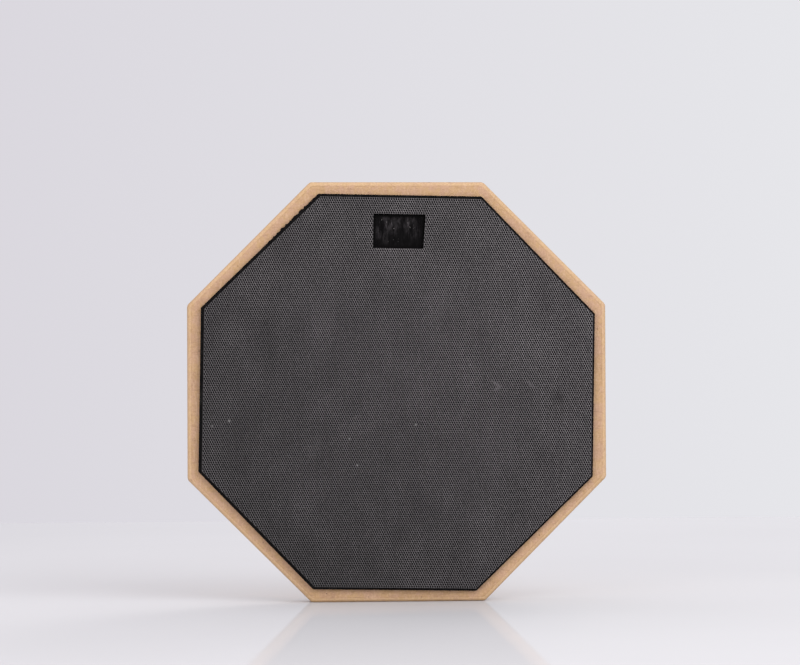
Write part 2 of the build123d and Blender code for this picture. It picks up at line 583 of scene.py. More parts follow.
@dataclass(frozen=True)
class DimpledRubber:
    """Dark grey dimpled rubber: a paler network round pits painted near-black as shade, smudges, scuffs, lint
    and a painted sheen.
    """

    network: Colour = (0.225, 0.211, 0.218)
    # painted shade: near-black colour that stands for the shade inside each pit
    pit: Colour = (0.0045, 0.0042, 0.0045)
    scuffed: Colour = (0.150, 0.140, 0.147)
    lint: Colour = (0.780, 0.770, 0.760)
    smudge_size: float = 16.0 * MM
    wide_size: float = 70.0 * MM
    knot_size: float = 2.0 * MM
    fine_size: float = 0.5 * MM
    relief: float = 0.05 * MM
    gloss: float = 0.09

    def material(self) -> bpy.types.Material:
        """The pit value at each point picks between the network and painted shade in the pits; noise and the
        tone value, which holds a painted sheen, vary the network.

        Returns:
            The finished material.
        """
        made = NodeTree("dimpled_rubber")
        leaning = made.stretched((1.0, 1.0, 0.35), turn=-0.26)
        smudge = made.noise(self.smudge_size, detail=4.0, rough=0.6, at=leaning)
        wide = made.noise(self.wide_size)
        fine = made.noise(self.fine_size)
        knots = made.noise(self.knot_size, rough=0.7)
        shade = made.remap(smudge, 0.30, 0.70, 0.86, 1.14)
        shade = made.math("MULTIPLY", shade, made.remap(wide, 0.3, 0.7, 0.93, 1.07))
        shade = made.math("MULTIPLY", shade, made.remap(knots, 0.3, 0.7, 0.74, 1.26))
        # tone holds a painted sheen that brightens the mat towards the upper right
        shade = made.math("MULTIPLY", shade, made.value("tone"))
        # share of painted pit shade, from the pit value at each point
        pit_shade_share = made.remap(made.value("pit"), 0.10, 0.42)
        colour = made.mix(1.0, self.network, shade, "MULTIPLY")
        colour = made.mix(pit_shade_share, colour, self.pit)
        colour = made.mix(made.value("scuff"), colour, self.scuffed)
        colour = made.mix(made.value("lint"), colour, self.lint)
        relief = made.bump(fine, self.relief, 0.6)
        roughness = made.remap(smudge, 0.3, 0.7, 0.50, 0.66)
        return made.surface(colour, roughness, relief, self.gloss)


@dataclass(frozen=True)
class CutFoam:
    """Black closed-cell foam: fine open cells on its cut faces and a little pale dust."""

    body: Colour = (0.0050, 0.0046, 0.0048)
    dust: Colour = (0.045, 0.043, 0.042)
    cell: float = 0.45 * MM
    dust_patch: float = 5.0 * MM
    relief: float = 0.16 * MM
    gloss: float = 0.06

    def material(self) -> bpy.types.Material:
        """Cells are small Voronoi hollows in the relief; dust gathers where a broad noise is high.

        Returns:
            The finished material.
        """
        made = NodeTree("black_foam")
        cells = made.cells(self.cell)
        dusty = made.remap(made.noise(self.dust_patch, detail=3.0), 0.52, 0.75, 0.0, 0.55)
        colour = made.mix(made.math("MULTIPLY", dusty, made.remap(cells, 0.3, 0.8)), self.body, self.dust)
        relief = made.bump(cells, self.relief, 0.8)
        roughness = made.remap(cells, 0.1, 0.7, 0.78, 0.92)
        return made.surface(colour, roughness, relief, self.gloss)


@dataclass(frozen=True)
class NameplateBlack:
    """Black moulded plastic with dried vertical smears and pale specks, kept off a black margin that is
    painted shade by the window's walls.
    """

    body: Colour = (0.0020, 0.0018, 0.0020)
    smear: Colour = (0.066, 0.060, 0.064)
    speck: Colour = (0.300, 0.285, 0.280)
    streak_width: float = 1.0 * MM
    streak_draw: float = 0.17
    patch_size: float = 6.0 * MM
    speck_spacing: float = 1.8 * MM
    speck_patch: float = 5.0 * MM
    relief: float = 0.04 * MM
    gloss: float = 0.04

    def material(self) -> bpy.types.Material:
        """Smears are noise drawn out along z; specks are the middles of sparse cells; both fade out towards
        the edges, whose black margin is painted shade.

        Returns:
            The finished material.
        """
        made = NodeTree("nameplate_black")
        upright = made.stretched((1.0, 1.0, self.streak_draw), turn=0.04)
        streak = made.noise(self.streak_width, detail=5.0, rough=0.7, at=upright)
        patch = made.noise(self.patch_size, detail=3.0, at=made.stretched((1.0, 1.0, 0.6)))
        # inner is 0 in the margin of painted shade by the window's walls
        held = made.math("MULTIPLY", made.value("inner"), made.remap(patch, 0.42, 0.62, 0.1, 1.0))
        share = made.math("MULTIPLY", made.remap(streak, 0.40, 0.72), held)
        colour = made.mix(share, self.body, self.smear)
        specks = made.remap(made.cells(self.speck_spacing), 0.10, 0.20, 0.7, 0.0)
        rare = made.remap(made.noise(self.speck_patch, detail=1.0), 0.58, 0.64)
        specks = made.math("MULTIPLY", made.math("MULTIPLY", specks, rare), made.value("inner"))
        colour = made.mix(specks, colour, self.speck)
        relief = made.bump(streak, self.relief, 0.5)
        roughness = made.remap(share, 0.0, 0.8, 0.36, 0.66)
        return made.surface(colour, roughness, relief, self.gloss)


@dataclass(frozen=True)
class GumRubber:
    """Smooth natural gum rubber: warm tan with soft mottling, faint bloom and stick marks near its middle."""

    pale: Colour = (0.500, 0.268, 0.098)
    deep: Colour = (0.455, 0.232, 0.078)
    bloom: Colour = (0.600, 0.420, 0.250)
    mark: Colour = (0.190, 0.130, 0.085)
    mottle_size: float = 34.0 * MM
    bloom_size: float = 11.0 * MM
    fine_size: float = 0.8 * MM
    fine_relief: float = 0.03 * MM
    mottle_relief: float = 0.35 * MM
    gloss: float = 0.45

    def material(self) -> bpy.types.Material:
        """Broad noise mottles the tan; fine noise lays the bloom; the mark value darkens struck places.

        Returns:
            The finished material.
        """
        made = NodeTree("gum_rubber")
        mottle = made.noise(self.mottle_size, detail=4.0, rough=0.6)
        fine = made.noise(self.fine_size, detail=3.0, rough=0.6)
        colour = made.mix(made.remap(mottle, 0.3, 0.7), self.deep, self.pale)
        bloom = made.remap(made.noise(self.bloom_size, detail=5.0, rough=0.7), 0.48, 0.72, 0.0, 0.24)
        colour = made.mix(made.math("MULTIPLY", bloom, made.remap(fine, 0.3, 0.6)), colour, self.bloom)
        colour = made.mix(made.value("mark"), colour, self.mark)
        relief = made.bump(fine, self.fine_relief, 0.6)
        relief = made.bump(mottle, self.mottle_relief, 0.5, over=relief)
        roughness = made.remap(bloom, 0.0, 0.24, 0.40, 0.60)
        return made.surface(colour, roughness, relief, self.gloss)


@dataclass(frozen=True)
class Adhesive:
    """Dried contact adhesive: a thin bubbled film, amber on wood and dark on black foam."""

    place: GluePlace
    film: Colour
    thick: Colour
    bubble: float = 1.1 * MM
    flow: float = 6.0 * MM
    relief: float = 0.06 * MM

    def material(self) -> bpy.types.Material:
        """Bubbles are Voronoi cells that raise the film; noise varies its thickness, and so its colour.

        Returns:
            The finished material.
        """
        made = NodeTree(self.place.value)
        bubbles = made.cells(self.bubble)
        flow = made.noise(self.flow, detail=3.0)
        colour = made.mix(made.remap(flow, 0.3, 0.7), self.film, self.thick)
        relief = made.bump(bubbles, self.relief, 0.7)
        roughness = made.remap(flow, 0.3, 0.7, 0.25, 0.42)
        return made.surface(colour, roughness, relief)


@dataclass(frozen=True)
class FoamTape:
    """Double-sided foam tape: off-white open foam between two clear gummed faces."""

    foam: Colour = (0.620, 0.610, 0.580)
    hollow: Colour = (0.330, 0.320, 0.300)
    cell: float = 0.3 * MM
    relief: float = 0.08 * MM

    def material(self) -> bpy.types.Material:
        """Fine cells darken and hollow the foam.

        Returns:
            The finished material.
        """
        made = NodeTree("tape_foam")
        cells = made.cells(self.cell)
        colour = made.mix(made.remap(cells, 0.1, 0.5, 0.7, 0.0), self.foam, self.hollow)
        relief = made.bump(cells, self.relief, 0.7)
        return made.surface(colour, made.remap(cells, 0.1, 0.6, 0.5, 0.75), relief)


# ---------------------------------------------------------------------------------------------
# Ringed solids
# ---------------------------------------------------------------------------------------------


@dataclass(frozen=True)
class Rings:
    """A profile of offset and depth carried round an outline: ring i is outline.at(offset_i) at depth_i."""

    plane: PadPlane
    outline: Outline
    offsets: np.ndarray
    depths: np.ndarray

    def grid(self, spread: np.ndarray | float = 0.0) -> np.ndarray:
        """All the rings' points: base * (1 + (offset + spread) / reach) + radius * normal, set at the depth.

        Args:
            spread: extra outward offset for each ring and sample, (R, N).

        Returns:
            (R, N, 3) points of the part.
        """
        count = (len(self.offsets), len(self.outline.base))
        offset = np.broadcast_to(self.offsets[:, None] + spread, count)[..., None]
        flat = self.outline.base * (1.0 + offset / self.outline.reach)
        flat = flat + self.outline.radius * self.outline.normal
        return self.plane.place(flat, self.depths[:, None])

    def capped(self, points: np.ndarray, values: dict[str, np.ndarray]) -> Skin:
        """Closes the first and last rings onto poles at their middles.

        Args:
            points: (R, N, 3) ring points.
            values: (R, N) values at them.

        Returns:
            The closed surface; each pole takes the mean value of its ring.
        """
        rings, around = points.shape[:2]
        flat = np.concatenate([points.reshape(-1, 3), points[[0, -1]].mean(axis=1)])
        faces = [
            ring_quads(rings, around, closed=False),
            pole_fan(0, around, rings * around),
            pole_fan((rings - 1) * around, around, rings * around + 1)[:, ::-1],
        ]
        full = {key: np.concatenate([v.ravel(), v[[0, -1]].mean(axis=1)]) for key, v in values.items()}
        return Skin(flat, faces, full)


def quarter_round(radius: float, steps: int) -> tuple[np.ndarray, np.ndarray]:
    """A quarter circle from a face to a side: offset r (cos t - 1), depth r (1 - sin t), t from 90 to 0."""
    turn = np.linspace(math.pi / 2.0, 0.0, steps)
    return radius * (np.cos(turn) - 1.0), radius * (1.0 - np.sin(turn))


def slab_profile(
    half: float,
    front: float,
    back: float,
    eases: tuple[float, float],
    inner: np.ndarray,
    sides: int,
    turns: int,
) -> tuple[np.ndarray, np.ndarray]:
    """The profile of a slab with eased edges, from the middle of its front face round to that of its back.

    Args:
        half: distance from the middle to a flat.
        front: depth of the front face along Y.
        back: depth of the back face.
        eases: radius of the front and the back edge.
        inner: rising distances from the outline of the face's inner rings, all negative.
        sides: rings on the side between the two eased edges.
        turns: rings on each eased edge.

    Returns:
        Offsets from the outline, and depths.
    """
    ease_in, ease_down = quarter_round(eases[0], turns)
    back_in, back_down = quarter_round(eases[1], turns)
    clear_of_ease = 1.5
    front_rings = inner[(inner < -clear_of_ease * eases[0]) & (inner > -half)]
    back_rings = inner[(inner < -clear_of_ease * eases[1]) & (inner > -half)][::-1]
    side = np.linspace(front + eases[0], back - eases[1], sides + 2)[1:-1]
    offsets = [front_rings, ease_in, np.zeros(sides), back_in[::-1], back_rings]
    depths = [
        np.full(len(front_rings), front),
        front + ease_down,
        side,
        back - back_down[::-1],
        np.full(len(back_rings), back),
    ]
    return np.concatenate(offsets), np.concatenate(depths)


def bell(distance: np.ndarray, width: float) -> np.ndarray:
    """A smooth hump: exp(-(distance / width) squared)."""
    return np.exp(-((distance / width) ** 2))


# ---------------------------------------------------------------------------------------------
# The pad's pieces
# ---------------------------------------------------------------------------------------------


@dataclass
class Board:
    """The octagonal fibreboard that both pads are glued to."""

    corner_radius: float = 4.0 * MM
    arris_radius: float = 3.0 * MM
    step: float = 0.75 * MM
    sanding: float = 0.05 * MM
    sanding_wave: float = 3.2 * MM
    dent: float = 0.35 * MM
    dent_wave: float = 9.0 * MM
    dent_level: float = 1.55

    def build(self, finish: Fibreboard) -> bpy.types.Object:
        """Carries the board's eased profile round the octagon and wears its edges inwards.

        The wear is sanding * ripple + dent * (a slower ripple's peaks), full on the side and none on the
        faces. The core value is 1 at the middle of the board's thickness, routed is highest on the side and
        in dents, and inset is the distance in from the side.

        Args:
            finish: the board's finish.

        Returns:
            The finished board.
        """
        node = "base_board"
        low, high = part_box(node)
        half = half_across_flats(node)
        outline = Outline.octagon(half, self.corner_radius, self.step)
        far = -(half - self.corner_radius)
        inner = np.array([-40.0, -18.0, -13.0, -11.0, -9.5, -8.0, -7.0, -6.2, -5.4, -4.6]) * MM
        inner = np.concatenate([[0.98 * far, 0.7 * far], inner])
        eases = (self.arris_radius, self.arris_radius)
        offsets, depths = slab_profile(half, low.y, high.y, eases, inner, sides=9, turns=9)
        rings = Rings(PadPlane.of_node(node), outline, offsets, depths)
        along = outline.along()[None, :]
        down = depths[:, None]
        girth = np.concatenate([[0.0], np.cumsum(np.hypot(np.diff(offsets), np.diff(depths)))])[:, None]
        edge = np.clip(1.0 + offsets / (1.2 * self.arris_radius), 0.0, 1.0)[:, None]
        rough = 0.5 + 0.5 * Ripple(self.sanding_wave, seed=11).over(along, girth)
        dings = Ripple(self.dent_wave, seed=12).over(along, 2.0 * girth)
        dings = np.clip(dings - self.dent_level, 0.0, 1.0)
        wear = edge * (self.sanding * np.clip(rough, 0.0, 1.0) + self.dent * dings)
        points = rings.grid(spread=-wear)
        share = (down - low.y) / (high.y - low.y)
        side = np.clip(1.0 - np.abs(offsets[:, None]) / (0.35 * self.arris_radius), 0.0, 1.0)
        core = side * np.clip(1.6 - 4.5 * np.abs(share - 0.5), 0.0, 1.0) * np.ones_like(along)
        routed = np.clip(side * 0.55 + 3.0 * edge * dings, 0.0, 1.0)
        values = {"core": core, "routed": routed, "inset": -offsets[:, None] * np.ones_like(along)}
        piece = rings.capped(points, values).to_object("fibreboard_base")
        finish_piece(piece, finish.material(), [node])
        return piece


@dataclass(frozen=True)
class Scuff:
    """A paler rubbed place on the mat: its middle, half-width, half-length, turn and strength."""

    x: float
    z: float
    width: float
    length: float
    angle: float
    strength: float

    def over(self, places: np.ndarray) -> np.ndarray:
        """Strength at each place: strength * exp(-(along / length)^2 - (across / width)^2).

        Args:
            places: (N, 2) places in the mat's plane.

        Returns:
            (N,) values.
        """
        away = places - np.array([self.x, self.z])
        along = away[:, 0] * math.cos(self.angle) + away[:, 1] * math.sin(self.angle)
        across = away[:, 1] * math.cos(self.angle) - away[:, 0] * math.sin(self.angle)
        return self.strength * bell(along, self.length) * bell(across, self.width)


@dataclass(frozen=True)
class Spot:
    """A small round mark on the mat: its middle and half-width."""

    x: float
    z: float
    size: float

    def over(self, places: np.ndarray) -> np.ndarray:
        """Strength at each place: exp(-(distance / size)^2)."""
        return bell(np.linalg.norm(places - np.array([self.x, self.z]), axis=1), self.size)


@dataclass
class FrontPad:
    """The dimpled side's foam and rubber, with the window cut through both for the nameplate."""

    turn: float = math.radians(-1.04)
    corner_radius: float = 1.5 * MM
    window: tuple[tuple[float, float], ...] = (
        (-19.50 * MM, 104.25 * MM),
        (17.35 * MM, 104.25 * MM),
        (18.70 * MM, 129.40 * MM),
        (-19.50 * MM, 129.40 * MM),
    )
    window_radius: float = 0.6 * MM
    plate_gap: float = 0.06 * MM
    plate_step: float = 0.3 * MM
    plate_eases: tuple[float, float] = (0.2 * MM, 0.1 * MM)
    plate_dip: float = 0.06 * MM
    plate_wave: float = 11.0 * MM
    # black margin by the window's walls, which is painted shade, and its fade
    wall_shade_margin: float = 1.2 * MM
    wall_shade_fade: float = 2.2 * MM
    foam_step: float = 0.5 * MM
    foam_ease: float = 0.35 * MM
    ragged: float = 0.08 * MM
    ragged_wave: float = 1.9 * MM
    tag: float = 0.95 * MM
    tag_wave: float = 4.2 * MM
    tag_level: float = 0.30
    tag_bearing: float = math.radians(123.0)
    tag_reach: float = math.radians(8.5)
    tag_elsewhere: float = 0.06
    pitch: float = 1.68 * MM
    row_pitch: float = 1.63 * MM
    pit_width: float = 0.68 * MM
    pit_height: float = 0.86 * MM
    pit_lean: float = -0.16
    pit_depth: float = 0.42 * MM
    rim_depth: float = 0.07 * MM
    # share of painted pit shade on each pit's rim
    rim_shade_share: float = 0.55
    # painted sheen: how much brighter the mat is painted towards the upper right, as if lit there
    painted_sheen: float = 0.19
    painted_sheen_reach: float = 140.0 * MM
    unevenness: float = 0.05
    uneven_wave: float = 45.0 * MM
    grit_wave: float = 1.6 * MM
    scuffs: tuple[Scuff, ...] = (
        Scuff(71.0 * MM, 7.2 * MM, 1.1 * MM, 3.6 * MM, -0.59, 0.80),
        Scuff(71.8 * MM, 3.9 * MM, 1.1 * MM, 2.7 * MM, 0.54, 0.75),
        Scuff(96.5 * MM, 7.0 * MM, 1.2 * MM, 2.8 * MM, -0.80, 0.70),
        Scuff(-60.0 * MM, -40.0 * MM, 4.0 * MM, 9.0 * MM, 1.2, 0.14),
        Scuff(30.0 * MM, 60.0 * MM, 3.0 * MM, 12.0 * MM, 1.3, 0.14),
    )
    specks: tuple[Spot, ...] = (
        Spot(13.0 * MM, -23.0 * MM, 0.6 * MM),
        Spot(-35.0 * MM, -34.0 * MM, 0.5 * MM),
        Spot(-29.0 * MM, -53.0 * MM, 0.5 * MM),
        Spot(-122.0 * MM, -22.0 * MM, 0.6 * MM),
        Spot(-134.0 * MM, -26.0 * MM, 0.5 * MM),
        Spot(52.0 * MM, 21.0 * MM, 0.4 * MM),
    )
    lint_strength: float = 0.32
    smudge: Spot = Spot(116.0 * MM, -1.5 * MM, 4.0 * MM)
    smudge_strength: float = 0.45
    swell: float = 0.08 * MM
    swell_wave: float = 60.0 * MM
    cut_blend: float = 0.8 * MM
    # share of painted pit shade along the cut edges, a painted shade there
    cut_pit_shade: float = 0.27
    cut_drop: float = 0.3

    def plane(self, node: str) -> PadPlane:
        """The turned plane centred on one of the pad's layers."""
        return PadPlane.of_node(node, self.turn)

    def window_middle(self) -> np.ndarray:
        """The mean of the window's corners, in the foam's plane."""
        return np.mean(np.array(self.window), axis=0)

    def window_outline(self, inset: float, step: float) -> Outline:
        """The window's rounded outline about its own middle, drawn in by inset.

        Args:
            inset: how far it is drawn in.
            step: longest distance between samples on a side.

        Returns:
            The outline.
        """
        corners = np.array(self.window) - self.window_middle()
        size = np.abs(corners).max(axis=0)
        inner = corners * (1.0 - (inset + self.window_radius) / size)
        return Outline.rounded(inner, size - inset - self.window_radius, self.window_radius, step)

    def foam(self, finish: CutFoam) -> bpy.types.Object:
        """Makes the foam layer: rings from the window out to the cut edge, round it, and back to the window.

        Ring i of a face is window + share_i * (edge - window). The cut edge stands out by ragged * ripple +
        tag * (a slower ripple's peaks) * (a hump at the tags' bearing + a little elsewhere).

        Args:
            finish: the foam's finish.

        Returns:
            The finished foam.
        """
        node = "front_foam"
        low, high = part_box(node)
        half = half_across_flats(node, self.turn)
        plane, middle = self.plane(node), self.window_middle()
        outer = Outline.octagon(half, self.corner_radius, self.foam_step)
        hole = self.window_outline(0.0, self.foam_step)
        turn = 2.0 * math.pi
        bearings = np.unique(np.concatenate([outer.bearings(middle), hole.bearings(np.zeros(2))]) % turn)
        closest = 2e-4
        bearings = bearings[np.diff(bearings, append=bearings[0] + turn) > closest]
        outer, hole = outer.resampled(bearings, middle), hole.resampled(bearings, np.zeros(2))
        along = outer.along()
        start, down = quarter_round(self.foam_ease, steps=5)
        wall = np.linspace(low.y + self.foam_ease, high.y, 9)[1:]
        edge_offset = np.concatenate([start, np.zeros(len(wall))])
        edge_depth = np.concatenate([low.y + down, wall])
        ragged = Ripple(self.ragged_wave, seed=21).over(along[None, :], 1.6 * edge_depth[:, None])
        torn = Ripple(self.tag_wave, seed=22).over(along[None, :], 0.7 * edge_depth[:, None])
        torn = np.clip(torn - self.tag_level, 0.0, 1.0)
        ring_bearing = np.arctan2(outer.at(0.0)[:, 1], outer.at(0.0)[:, 0])
        frayed = bell(ring_bearing - self.tag_bearing, self.tag_reach) + self.tag_elsewhere
        shape = np.clip(1.0 + edge_offset / self.foam_ease, 0.0, 1.0)[:, None]
        spread = shape * (self.ragged * ragged + self.tag * torn * frayed[None, :])
        edge = np.stack([outer.at(o + s) for o, s in zip(edge_offset, spread)])
        hole_flat = hole.at(0.0) + middle
        shares = np.array([0.0, 0.004, 0.02, 0.1, 0.35, 0.7, 0.93, 0.985])[:, None, None]
        face = hole_flat[None] + shares * (edge[0] - hole_flat)[None]
        under = (hole_flat[None] + shares * (edge[-1] - hole_flat)[None])[::-1]
        inside = np.repeat(hole_flat[None], 3, axis=0)
        inside_depth = np.linspace(high.y, low.y, 5)[1:-1]
        flat = np.concatenate([face, edge, under, inside])
        face_depth, under_depth = np.full(len(face), low.y), np.full(len(under), high.y)
        depth = np.concatenate([face_depth, edge_depth, under_depth, inside_depth])
        points = plane.place(flat, depth[:, None])
        skin = Skin(points.reshape(-1, 3), [ring_quads(len(flat), len(bearings), closed=True)], {})
        piece = skin.to_object("front_foam_layer")
        finish_piece(piece, finish.material(), [node])
        return piece

    def lattice(self, half: float) -> tuple[np.ndarray, np.ndarray, np.ndarray, np.ndarray]:
        """Staggered six-sided cells with a round pit in each: nine points and eighteen triangles to a cell.

        Row r and column c put a cell's middle at (c p + p/2 for odd r, r q). Round it stand six points of
        the pit's rim, an upright ellipse that leans by a share of its height, and the cell owns its top and
        bottom corners; the other four are the neighbours' top and bottom corners.

        Args:
            half: half the width to cover.

        Returns:
            (N, 2) places, (N,) depth of the pit, (N,) share of painted shade in the pit, (T, 3) triangles.
        """
        p, q = self.pitch, self.row_pitch
        rows, columns = 2 * (math.ceil(half / q) + 3), 2 * (math.ceil(half / p) + 3)
        row, column = np.meshgrid(np.arange(rows), np.arange(columns), indexing="ij")
        odd = row % 2
        middle = np.stack([(column - columns // 2) * p + odd * p / 2.0, (row - rows // 2) * q], axis=-1)
        tip = 0.5 * (q + p * p / (4.0 * q))
        side, flank = p / 2.0, q - tip
        corner = np.array(
            [(0, tip), (-side, flank), (-side, -flank), (0, -tip), (side, -flank), (side, flank)]
        )
        rim = corner / np.linalg.norm(corner, axis=1)[:, None] * np.array([self.pit_width, self.pit_height])
        rim[:, 0] += self.pit_lean * rim[:, 1]
        own = np.concatenate([np.zeros((1, 2)), rim, corner[[0, 3]]])
        places = middle[:, :, None, :] + own
        drop = np.array([self.pit_depth] + [self.rim_depth] * 6 + [0.0, 0.0])
        # share of painted pit shade at each point: full at the middle, rim_shade_share on the rim, none at
        # the corners
        share = np.array([1.0] + [self.rim_shade_share] * 6 + [0.0, 0.0])
        each, top, bottom = len(own), 7, 8
        start = each * (row * columns + column)[1:-1, 1:-1]
        lean = each * odd[1:-1, 1:-1]
        above, below = each * columns, -each * columns
        tips = [
            start + top,
            start + above + lean - each + bottom,
            start + below + lean - each + top,
            start + bottom,
            start + below + lean + top,
            start + above + lean + bottom,
        ]
        faces = []
        for k in range(6):
            here, following = start + 1 + k, start + 1 + (k + 1) % 6
            faces.append(np.stack([start, here, following], axis=-1))
            faces.append(np.stack([here, tips[k], tips[(k + 1) % 6]], axis=-1))
            faces.append(np.stack([here, tips[(k + 1) % 6], following], axis=-1))
        triangles = np.concatenate([f.reshape(-1, 3) for f in faces])
        cells = rows * columns
        return places.reshape(-1, 2), np.tile(drop, cells), np.tile(share, cells), triangles

    def wear(self, places: np.ndarray) -> dict[str, np.ndarray]:
        """Scuffs broken up by a ripple, lint, and a tone that rises to the upper right as a painted sheen,
        but for one smudge.

        Args:
            places: (N, 2) places in the mat's plane.

        Returns:
            The values named scuff, lint and tone at each place.
        """
        across, up = places[:, 0], places[:, 1]
        grit = np.clip(0.5 + 0.5 * Ripple(self.grit_wave, seed=31).over(across, up), 0.3, 1.2)
        scuff = grit * sum(mark.over(places) for mark in self.scuffs)
        lint = self.lint_strength * sum(speck.over(places) for speck in self.specks)
        tone = 1.0 + self.unevenness * Ripple(self.uneven_wave, seed=32).over(across, up)
        tone -= self.smudge_strength * self.smudge.over(places)
        # painted sheen: a broad highlight painted in, rising towards the upper right
        tone += self.painted_sheen * (across + 0.8 * up) / self.painted_sheen_reach
        return {"scuff": np.clip(scuff, 0.0, 1.0), "lint": np.clip(lint, 0.0, 1.0), "tone": tone}

    def playing_skin(self, finish: DimpledRubber) -> bpy.types.Object:
        """Makes the dimpled rubber: the lattice cut to the octagon and window, with walls and a flat back.

        Depth below the top is drop * (cut_drop + (1 - cut_drop) * whole) + swell * (a ripple from 0 to 1),
        where whole rises from 0 at a cut to 1 at cut_blend from it. The pit value, the share of painted
        shade, is cut_pit_shade at a cut, so the cut edges carry an even painted shade.

        Args:
            finish: the rubber's finish.

        Returns:
            The finished skin.
        """
        node = "front_skin"
        low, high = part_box(node)
        half = half_across_flats(node, self.turn)
        plane = self.plane(node)
        places, drop, share, triangles = self.lattice(half)
        hole = np.array(self.window) + plane.locate(self.plane("front_foam"))
        bearing = 2.0 * HALF_SIDE_TURN * np.arange(OCTAGON_SIDES)
        outer_lines = [(np.array([math.cos(a), math.sin(a)]), half) for a in bearing]
        run = np.roll(hole, -1, axis=0) - hole
        normals = np.stack([run[:, 1], -run[:, 0]], axis=1) / np.linalg.norm(run, axis=1)[:, None]
        hole_lines = [(normal, float(normal @ corner)) for normal, corner in zip(normals, hole)]
        sheet = FlatSheet(places, {"drop": drop, "pit": share}, triangles)
        sheet = sheet.kept(outer_lines, 1.5 * self.pitch, inside=True)
        for normal, offset in outer_lines + hole_lines:
            sheet = sheet.split(normal, offset)
        sheet = sheet.kept(outer_lines, 0.0, inside=True).kept(hole_lines, 0.0, inside=False).packed()
        wave = Ripple(self.swell_wave, seed=33).over(sheet.places[:, 0], sheet.places[:, 1])
        swell = self.swell * (0.5 + 0.5 * np.clip(wave, -1.0, 1.0))
        whole = np.clip(sheet.clearance(outer_lines, hole_lines) / self.cut_blend, 0.0, 1.0)
        # painted pit shade, eased to cut_pit_shade near a cut, which paints shade along the cut edges
        pit = self.cut_pit_shade + (sheet.values["pit"] - self.cut_pit_shade) * whole
        depth = low.y + sheet.values["drop"] * (self.cut_drop + (1.0 - self.cut_drop) * whole) + swell
        front = plane.place(sheet.places, depth)
        rim_edges = sheet.rim()
        outer_loop = sheet.loop(rim_edges, np.zeros(2), outside=True)
        loops = [outer_loop, sheet.loop(rim_edges, hole.mean(0), outside=False)]
        order = np.concatenate(loops)
        back = plane.place(sheet.places[order], high.y)
        behind = np.full(len(front), -1)
        behind[order] = len(front) + np.arange(len(order))
        start, end = rim_edges.T
        walls = np.stack([end, start, behind[start], behind[end]], axis=1)
        outlines = [np.pad(sheet.places[loop], ((0, 0), (0, 1))).tolist() for loop in loops]
        back_faces = order_faces(np.array(tessellate_polygon(outlines)), sheet.places[order]) + len(front)
        values = {key: np.concatenate([v, v[order]]) for key, v in self.wear(sheet.places).items()}
        values["pit"] = np.concatenate([pit, np.zeros(len(order))])
        skin = Skin(np.concatenate([front, back]), [sheet.triangles, walls, back_faces[:, ::-1]], values)
        piece = skin.to_object("front_dimpled_skin", sharp_degrees=72.0)
        finish_piece(piece, finish.material(), [node])
        return piece

    def nameplate(self, finish: NameplateBlack) -> bpy.types.Object:
        """Makes the blank nameplate: an eased slab that fills the window but for the gap round it.

        Its face dips by plate_dip * |ripple|. Its inner value lets smears show: 0 at the margin, which stays
        black as painted shade by the window's walls, most above and left of the middle, least below.

        Args:
            finish: the plate's finish.

        Returns:
            The finished plate.
        """
        node = "nameplate"
        low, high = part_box(node)
        foam = self.plane("front_foam")
        middle = foam.place(self.window_middle(), 0.0)
        plane = PadPlane(float(middle[0]), float(middle[2]), self.turn)
        outline = self.window_outline(self.plate_gap, self.plate_step)
        reach = float(outline.reach.min())
        inner = -reach * np.array([0.985, 0.9, 0.8, 0.7, 0.6, 0.5, 0.42, 0.34, 0.28, 0.22, 0.16, 0.11, 0.07])
        offsets, depths = slab_profile(reach, low.y, high.y, self.plate_eases, inner, sides=2, turns=4)
        rings = Rings(plane, outline, offsets, depths)
        points = rings.grid()
        dip = self.plate_dip * Ripple(self.plate_wave, seed=41).over(points[..., 0], points[..., 2])
        face = (points[..., 1] <= low.y + 1e-6) & (offsets[:, None] < -0.5 * MM)
        points[..., 1] += np.where(face, np.abs(dip), 0.0)
        # inner_share is 0 within wall_shade_margin: the black margin there is painted shade by the window's
        # walls
        inner_share = np.clip((-offsets - self.wall_shade_margin) / self.wall_shade_fade, 0.0, 1.0)[:, None]
        rise = (points[..., 2] - low.z) / (high.z - low.z)
        run = (points[..., 0] - low.x) / (high.x - low.x)
        smeared = np.clip(0.35 + 1.6 * (rise - 0.15) - 0.7 * np.abs(run - 0.35), 0.1, 1.0)
        values = {"inner": inner_share * smeared}
        piece = rings.capped(points, values).to_object("nameplate_blank")
        finish_piece(piece, finish.material(), [node])
        return piece


